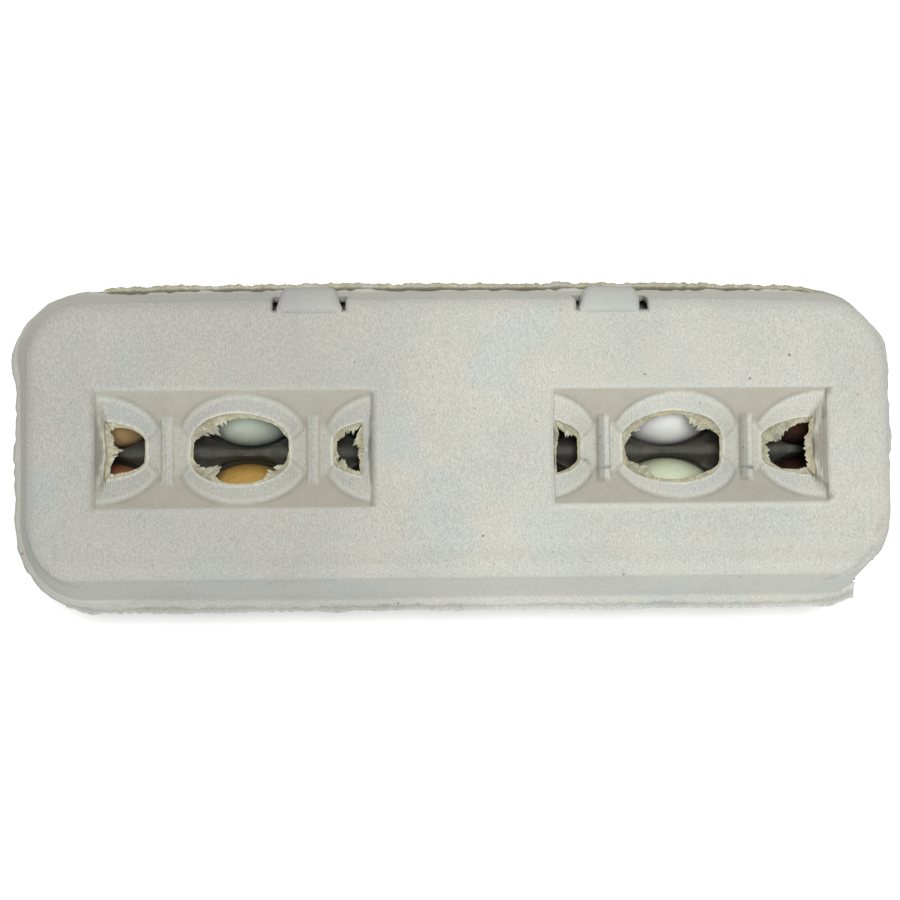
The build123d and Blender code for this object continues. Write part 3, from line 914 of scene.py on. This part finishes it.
def cup_rings(middle):
    """Rings of points of one cup, from its floor out to the edge of its share of the tray."""
    edge = square_edge()
    direction = edge / np.linalg.norm(edge, axis=1)[:, None]
    rings = []
    toward_ridge = np.clip(-np.sign(middle[1] - ROWS_Y) * direction[:, 1], 0, 1) ** 6
    for radius, height in CUP_PROFILE:
        pinch = RIDGE_HALF * toward_ridge * fade(np.array(height), 28.0, 41.0)
        flat = middle + direction * (radius - pinch)[:, None]
        rings.append(np.column_stack([flat, np.full(len(flat), height)]))
    steps = 8
    for step in range(steps + 1):
        part = (step / steps) ** 1.4
        mouth = CUP_MOUTH - 0.9 * RIDGE_HALF * toward_ridge
        flat = middle + direction * mouth[:, None] * (1 - part) + edge * part
        tucked = tuck_corners(np.column_stack([flat, np.zeros(len(flat))]))
        rings.append(np.column_stack([tucked[:, :2], land_height(tucked)]))
    return rings


def tray_edge_loop():
    """Points round the outer edge of the block of twelve cups."""
    long_side = np.linspace(-1, 1, 6 * SIDE_POINTS, endpoint=False)
    short_side = np.linspace(-1, 1, 2 * SIDE_POINTS, endpoint=False)
    across = [long_side, np.ones(len(short_side)), -long_side, -np.ones(len(short_side))]
    up = [-np.ones(len(long_side)), short_side, np.ones(len(long_side)), -short_side]
    return np.concatenate(across), np.concatenate(up)


def tray_rim_rings():
    """Rings of points from the block of cups out to the tray's rim."""
    across, up = tray_edge_loop()
    flat = np.column_stack([across * BLOCK_HALF_LENGTH, ROWS_Y + up * BLOCK_HALF_WIDTH, np.zeros(len(up))])
    inner = tuck_corners(flat)
    inner[:, 2] = land_height(inner)
    flat_x, flat_y = round_corners(across * FLAT_HALF_LENGTH, up * FLAT_HALF_WIDTH)
    outline = np.column_stack([flat_x, flat_y])
    outward = loop_normals(outline)
    back = fade(-flat_y, 30.0, 40.0)
    ragged = 0.3 * noise_along(across * 140 + up * 60, 3.0, 210)
    outer = outline + outward * (TRAY_RIM_REACH - BACK_RIM_DRAWN_IN * back + ragged)[:, None]
    outer[:, 1] += rim_bow(outer[:, 0], outer[:, 1])
    rings = [inner]
    for part in (0.33, 0.66, 1.0):
        mixed = inner[:, :2] * (1 - part) + outer * part
        height = inner[:, 2] * (1 - part) + TRAY_RIM_Z * part
        rings.append(np.column_stack([mixed, height]))
    return rings


def weld(piece, distance):
    """Joins points that lie together."""
    shape = bmesh.new()
    shape.from_mesh(piece.data)
    bmesh.ops.remove_doubles(shape, verts=shape.verts, dist=distance * MM)
    shape.to_mesh(piece.data)
    shape.free()


def make_tray():
    """The tray: twelve cups, the ridge and posts between them, and the rim."""
    around = 4 * SIDE_POINTS
    points = []
    faces = []
    count = 0
    for column in COLUMNS:
        for row_y in (FRONT_ROW_Y, BACK_ROW_Y):
            rings = cup_rings(np.array([column, row_y]))
            floor_middle = np.array([[column, row_y, CUP_PROFILE[0][1]]])
            points += rings + [floor_middle]
            faces.append(strip_faces(len(rings), around, closed=True, first=count)[:, ::-1])
            middle_index = count + len(rings) * around
            spoke = np.arange(around)
            beside = (spoke + 1) % around
            faces.append(np.column_stack([np.full(around, middle_index), count + spoke, count + beside]))
            count = middle_index + 1
    rim = tray_rim_rings()
    per_ring = len(rim[0])
    points += rim
    faces.append(strip_faces(len(rim), per_ring, closed=True, first=count)[:, ::-1])
    points = np.vstack(points)
    rough = 0.28 * noise(points, 5.0, 201) + 0.14 * noise(points, 1.7, 202)
    rough += 0.5 * noise(points, 3.2, 203) * fade(points[:, 2], 39.0, 43.0)
    above_floor = fade(points[:, 2], 2.5, 8.0)
    points[:, [0, 2]] += (rough * above_floor)[:, None]
    points = crumple(points)
    # painted shade: the ridge between the rows is painted nearly black for the shade under the lid, and stops
    # short of the posts' tips
    between_rows = fade(np.abs(points[:, 1] - ROWS_Y), 16.0, 9.0) * fade(points[:, 2], 34.0, 38.0)
    painted_shade_between_rows = between_rows * (0.92 + 0.07 * noise(points, 1.8, 204)) * fade(points[:, 2], 54.0, 46.0)
    tray = mesh_piece("tray_shell", points, faces, {"crack_and_painted_shade": painted_shade_between_rows})
    weld(tray, 0.02)
    thicken(tray, 1.85)
    tray.data.materials.append(TRAY_PULP)
    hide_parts("tray")
    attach(tray, "tray")


make_tray()


# ---------------------------------------------------------------- eggs

EGG_BOTTOM_Z, EGG_TOP_Z = box_mm("egg_front_1")[0][2], box_mm("egg_front_1")[1][2]
EGG_WAIST_Z = EGG_BOTTOM_Z + 31.0
# Six shells are near-black browns: dark brown eggs painted darker still, as painted shade of their dim cups
EGGS = {  # radius, lean about X and Y in degrees, two shell colours, freckle colour, freckling, roughness
    "egg_front_1": (21.2, 1, 1, (0.98, 0.72, 0.38), (0.94, 0.64, 0.30), (0.50, 0.24, 0.09), 0.4, 0.50),
    "egg_front_2": (20.8, 0, 0, (0.71, 0.83, 0.74), (0.62, 0.74, 0.65), (0.42, 0.45, 0.30), 0.5, 0.48),
    "egg_front_3": (21.0, 0, 1, (0.13, 0.05, 0.03), (0.09, 0.035, 0.02), (0.05, 0.02, 0.01), 0.6, 0.42),
    "egg_front_4": (21.0, 1, 0, (0.12, 0.045, 0.025), (0.08, 0.03, 0.02), (0.04, 0.02, 0.01), 0.5, 0.42),
    "egg_front_5": (21.5, 1.5, -4, (0.98, 0.985, 0.99), (0.96, 0.97, 0.98), (0.82, 0.83, 0.86), 0.1, 0.40),
    "egg_front_6": (21.1, 0, 0, (0.12, 0.06, 0.04), (0.09, 0.045, 0.03), (0.06, 0.03, 0.02), 0.5, 0.48),
    "egg_back_1": (21.0, 0, 0, (0.42, 0.17, 0.09), (0.35, 0.13, 0.07), (0.20, 0.07, 0.03), 0.6, 0.46),
    "egg_back_2": (20.5, 1.5, 0, (0.60, 0.38, 0.10), (0.50, 0.30, 0.07), (0.24, 0.11, 0.02), 0.8, 0.46),
    "egg_back_3": (21.0, 0, 0, (0.10, 0.04, 0.02), (0.07, 0.03, 0.015), (0.03, 0.015, 0.01), 0.6, 0.42),
    "egg_back_4": (21.0, 0, 1, (0.13, 0.05, 0.03), (0.10, 0.04, 0.02), (0.05, 0.02, 0.01), 0.5, 0.42),
    "egg_back_5": (21.5, 0, -3, (0.72, 0.79, 0.59), (0.64, 0.72, 0.52), (0.56, 0.44, 0.18), 0.7, 0.48),
    "egg_back_6": (21.1, 0, 0, (0.07, 0.025, 0.02), (0.05, 0.02, 0.015), (0.02, 0.01, 0.01), 0.4, 0.40),
}


def make_egg(node, seed):
    """One egg, blunt end up: two half ellipses turned about its axis, leaning a little."""
    radius, lean_x, lean_y, tone_a, tone_b, freckle, freckling, roughness = EGGS[node]
    rings, spokes = 44, 72
    latitude = np.linspace(-math.pi / 2, math.pi / 2, rings)[1:-1]
    turn = np.linspace(0, 2 * math.pi, spokes, endpoint=False)
    height = np.where(latitude < 0, EGG_WAIST_Z - EGG_BOTTOM_Z, EGG_TOP_Z - EGG_WAIST_Z) * np.sin(latitude)
    out = radius * np.cos(latitude)
    points = np.column_stack([
        np.outer(out, np.cos(turn)).ravel(),
        np.outer(out, np.sin(turn)).ravel(),
        np.repeat(height, spokes),
    ])
    ends = np.array([[0, 0, EGG_BOTTOM_Z - EGG_WAIST_Z], [0, 0, EGG_TOP_Z - EGG_WAIST_Z]])
    points = np.vstack([points, ends])
    points *= 1 + 0.003 * noise(points, 18.0, seed)[:, None]
    leaning = Euler((math.radians(lean_x), math.radians(lean_y), 0)).to_matrix()
    rotation = np.array(leaning @ Euler((0, 0, seed)).to_matrix())
    middle = middle_mm(node)
    points = points @ rotation.T + (middle[0], middle[1], EGG_WAIST_Z)
    spoke = np.arange(spokes)
    beside = (spoke + 1) % spokes
    last = (len(latitude) - 1) * spokes
    low_end, high_end = len(points) - 2, len(points) - 1
    faces = [
        strip_faces(len(latitude), spokes, closed=True),
        np.column_stack([np.full(spokes, low_end), beside, spoke]),
        np.column_stack([np.full(spokes, high_end), last + spoke, last + beside]),
    ]
    egg = mesh_piece(f"shell_of_{node}", points, faces)
    tones = [rgb(*tone) for tone in (tone_a, tone_b, freckle)]
    egg.data.materials.append(shell_material(f"{node}_eggshell", *tones, freckling, roughness))
    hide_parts(node)
    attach(egg, node)


for number, egg_node in enumerate(EGGS):
    make_egg(egg_node, 300 + number)


# ---------------------------------------------------------------- locking flap and buttons

FLAP_AXIS = np.array([FRONT_FOLD[1], FRONT_FOLD[2]])
FLAP_LEAN = math.radians(22.0)
FLAP_REACH = 25.8
FLAP_THICKNESS = 1.44
NOTCH_ROOT = 17.0
BUTTON_GAP = 0.4
BUTTON_PROFILE = ((42.6, 57.0), (46.0, 57.4), (48.2, 58.9), (49.2, 61.0), (49.3, 63.0), (48.9, 65.0),
                  (47.8, 66.6), (46.2, 67.6), (44.4, 68.2), (43.1, 68.3), (42.3, 67.9), (41.9, 66.9))
BUTTONS = {  # ends at the plate, ends at the tip
    "left": ((-59.2, -39.4), (-58.3, -40.7)),
    "right": ((39.6, 57.7), (40.9, 57.9)),
}


def flap_point(reach):
    """Y and Z of the middle of the flap's thickness at a distance from its crease."""
    return FLAP_AXIS + reach * np.array([-math.sin(FLAP_LEAN), math.cos(FLAP_LEAN)])


def make_flap():
    """The pulp strip that stands inside the lid's front wall, with a notch for each button."""
    half_base = (FLAP_HIGH[0] - FLAP_LOW[0]) / 2
    half_top = half_base - 4.0
    keys = [-1.0, 1.0]
    notches = []
    for node in ("lock_button_left", "lock_button_right"):
        low, high = box_mm(node)
        notches.append((low[0] - BUTTON_GAP, high[0] + BUTTON_GAP))
    keys += [edge / half_base for notch in notches for edge in notch]
    across = lines_through(sorted(keys), lambda position: 0.016)
    up = lines_through([0.6, NOTCH_ROOT, FLAP_REACH], lambda position: 1.7)
    rows = []
    for reach in up:
        half = half_base + (half_top - half_base) * (reach / FLAP_REACH) ** 2
        x = np.where(np.abs(across) > 0.98, across * half, across * half_base)
        x = np.clip(x, -half, half)
        y, z = flap_point(reach)
        wave = 0.25 * noise_along(x, 22, 401) * reach / FLAP_REACH
        ragged = 0.35 * noise_along(x, 3.0, 402) * fade(np.full(len(x), reach), 22.0, FLAP_REACH)
        rows.append(np.column_stack([x, y + wave, z + ragged]))
    points = np.vstack(rows)
    faces = strip_faces(len(up), len(across))
    centres = points[faces].mean(axis=1)
    cut = np.zeros(len(faces), bool)
    for start, end in notches:
        above = centres[:, 2] > flap_point(NOTCH_ROOT)[1]
        cut |= (centres[:, 0] > start) & (centres[:, 0] < end) & above
    flap = mesh_piece("locking_flap_strip", points, [faces[~cut]])
    thicken(flap, FLAP_THICKNESS, 0.0)
    flap.data.materials.append(FLAP_PULP)
    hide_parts("locking_flap")
    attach(flap, "locking_flap")


def make_button(side):
    """A hollow bump of smooth pulp that stands in the flap's notch and comes out of the lid's slot."""
    (plate_start, plate_end), (tip_start, tip_end) = BUTTONS[side]
    profile = np.array(BUTTON_PROFILE)
    steps = np.linspace(0, len(profile) - 1, 34)
    outer = np.column_stack([np.interp(steps, range(len(profile)), profile[:, axis]) for axis in (0, 1)])
    for _ in range(3):
        outer[1:-1] = (outer[:-2] + 2 * outer[1:-1] + outer[2:]) / 4
    across = np.sin(np.linspace(-1, 1, 41) * math.pi / 2)
    fullness = (1 - np.abs(across) ** 9) ** (1 / 5)
    rows = []
    for step, (y, z) in zip(steps, outer):
        reach = NOTCH_ROOT + BUTTON_GAP + (FLAP_REACH - NOTCH_ROOT) * step / steps[-1]
        base = flap_point(reach)
        tip = fade(np.array(y), 42.5, 48.0)
        start = plate_start + (tip_start - plate_start) * tip
        end = plate_end + (tip_end - plate_end) * tip
        x = (start + end) / 2 + across * (end - start) / 2
        row = np.column_stack([x, base[0] + (y - base[0]) * fullness, base[1] + (z - base[1]) * fullness])
        row += 0.10 * noise(row, 5.0, 410)[:, None]
        rows.append(row)
    points = np.vstack(rows)
    # the button is painted paler along its two sides
    paler_sides = np.tile(0.55 * fade(np.abs(across), 0.90, 0.985), len(rows))
    faces = strip_faces(len(rows), len(across))[:, ::-1]
    button = mesh_piece(f"lock_button_{side}_bump", points, [faces], {"edge": paler_sides})
    thicken(button, 1.2, 1.0)
    button.data.materials.append(FLAP_PULP)
    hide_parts(f"lock_button_{side}")
    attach(button, f"lock_button_{side}")


make_flap()
for side_name in BUTTONS:
    make_button(side_name)


# ---------------------------------------------------------------- folds and torn rims


def make_strip(name, profile, start, end, material, ragged, seed, thickness=0.8):
    """A pulp strip along X. Its outline is (y, z, painted shade) points, and its outer edge is torn by up to
    ragged. Its ends curve in with the carton's corners."""
    profile = np.array(profile)
    count = int((end - start) / 0.6)
    x = np.linspace(start, end, count)
    waves = ((0.5, 7.0), (0.35, 1.6), (0.25, 0.8))  # depth and length
    tear = sum(depth * noise_along(x, size, seed + turn) for turn, (depth, size) in enumerate(waves))
    outermost = np.abs(profile[:, 0]).max()
    rows = []
    strip_painted_shade = []
    bow = rim_bow(x, np.full(count, profile[0, 0])) - rim_bow(np.zeros(1), profile[:1, 0])
    ends = fade(np.minimum(x - start, end - x), 9.0, 0.0)
    for y, z, dark in profile:
        share = fade(np.array(abs(y)), outermost - 2.2, outermost)
        lift = 0.22 * noise_along(x, 9.0, seed + 3) * share
        outward = math.copysign(1, y)
        rows.append(np.column_stack([x, y + bow + outward * (ragged * tear * share - 2.6 * ends), z + lift]))
        strip_painted_shade.append(np.full(count, dark))
    faces = [strip_faces(len(rows), count)]
    piece = mesh_piece(name, np.vstack(rows), faces, {"crack_and_painted_shade": np.concatenate(strip_painted_shade)})
    thicken(piece, thickness, 0.0)
    piece.data.materials.append(material)
    return piece


def make_back_fold():
    """The fold that the lid turns on: a bent strip from the tray's rim round to the lid's rim."""
    # a thin line of painted shade inside the fold
    profile = ((-50.6, 39.5, 0), (-53.0, 39.5, 0), (-55.2, 39.7, 0), (-56.2, 40.1, 0), (-56.5, 40.5, 0),
               (-56.3, 41.0, 0), (-55.7, 41.2, 0.25), (-54.6, 41.4, 0.35), (-52.6, 41.9, 0), (-51.4, 43.4, 0))
    fold = make_strip("back_fold", profile, -133.0, 135.2, CREASE_PULP, 0.55, 500)
    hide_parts("back_crease")
    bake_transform(fold)


def make_front_fold():
    """The fold that the locking flap turns on."""
    profile = ((50.4, 39.7, 0), (49.8, 40.0, 0), (49.2, 40.5, 0), (48.8, 41.1, 0), (48.5, 41.9, 0),
               (48.2, 42.8, 0))
    fold = make_strip("front_fold", profile, FLAP_LOW[0], FLAP_HIGH[0], CREASE_PULP, 0.1, 520)
    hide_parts("front_crease")
    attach(fold, "locking_flap")


def make_front_rim():
    """The torn, yellowed edge of the tray's rim along the latch side."""
    # painted shade on the inner part, in the gap under the lid's rim
    profile = ((49.6, 39.6, 0.9), (51.2, 39.9, 0.9), (53.0, 40.0, 0.9), (53.7, 40.0, 0.7),
               (54.2, 40.0, 0), (55.2, 39.8, 0))
    rim = make_strip("front_rim_torn_edge", profile, -127.0, 128.0, TORN_EDGE, 0.9, 540, 1.2)
    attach(rim, "tray")


make_back_fold()
make_front_fold()
make_front_rim()


# ---------------------------------------------------------------- stage, light, camera


def make_floor():
    """A white floor, large enough to fill the view."""
    half = 3000.0
    points = np.array([(-half, -half, 0), (half, -half, 0), (half, half, 0), (-half, half, 0)])
    floor = mesh_piece("floor", points, [np.array([[0, 1, 2, 3]])])
    material, _, shader = new_material("white_floor")
    shader.inputs["Base Color"].default_value = rgb(0.95, 0.95, 0.95)
    shader.inputs["Roughness"].default_value = 0.9
    floor.data.materials.append(material)


def make_light(name, place, size, power, colour):
    """A large soft lamp aimed at the carton."""
    lamp = bpy.data.lights.new(name, "AREA")
    lamp.shape = "DISK"
    lamp.size = size
    lamp.energy = power
    lamp.color = colour
    holder = bpy.data.objects.new(name, lamp)
    holder.location = place
    holder.rotation_euler = (-Vector(place)).to_track_quat("-Z", "Y").to_euler()
    bpy.context.scene.collection.objects.link(holder)


def make_world():
    """Even white light from all round."""
    world = bpy.data.worlds.new("studio")
    world.use_nodes = True
    background = world.node_tree.nodes["Background"]
    background.inputs["Color"].default_value = (1.0, 1.0, 1.0, 1.0)
    background.inputs["Strength"].default_value = 0.45
    bpy.context.scene.world = world
    bpy.context.scene.view_settings.view_transform = "Standard"


def make_camera():
    """A camera nearly straight above the carton."""
    camera = bpy.data.cameras.new("camera")
    camera.sensor_width = 36.0
    camera.lens = 58.67
    holder = bpy.data.objects.new("camera", camera)
    holder.location = (-0.0206, -0.0302, 0.5426)
    holder.rotation_euler = Euler([math.radians(angle) for angle in (3.21, -1.98, -0.53)])
    bpy.context.scene.collection.objects.link(holder)
    bpy.context.scene.camera = holder


make_floor()
make_world()
make_light("overhead", (0.02, 0.06, 1.25), 0.4, 13.0, (1.0, 0.99, 0.97))
make_light("front", (0.25, -1.6, 0.45), 1.0, 9.5, (0.93, 0.97, 1.0))
make_camera()
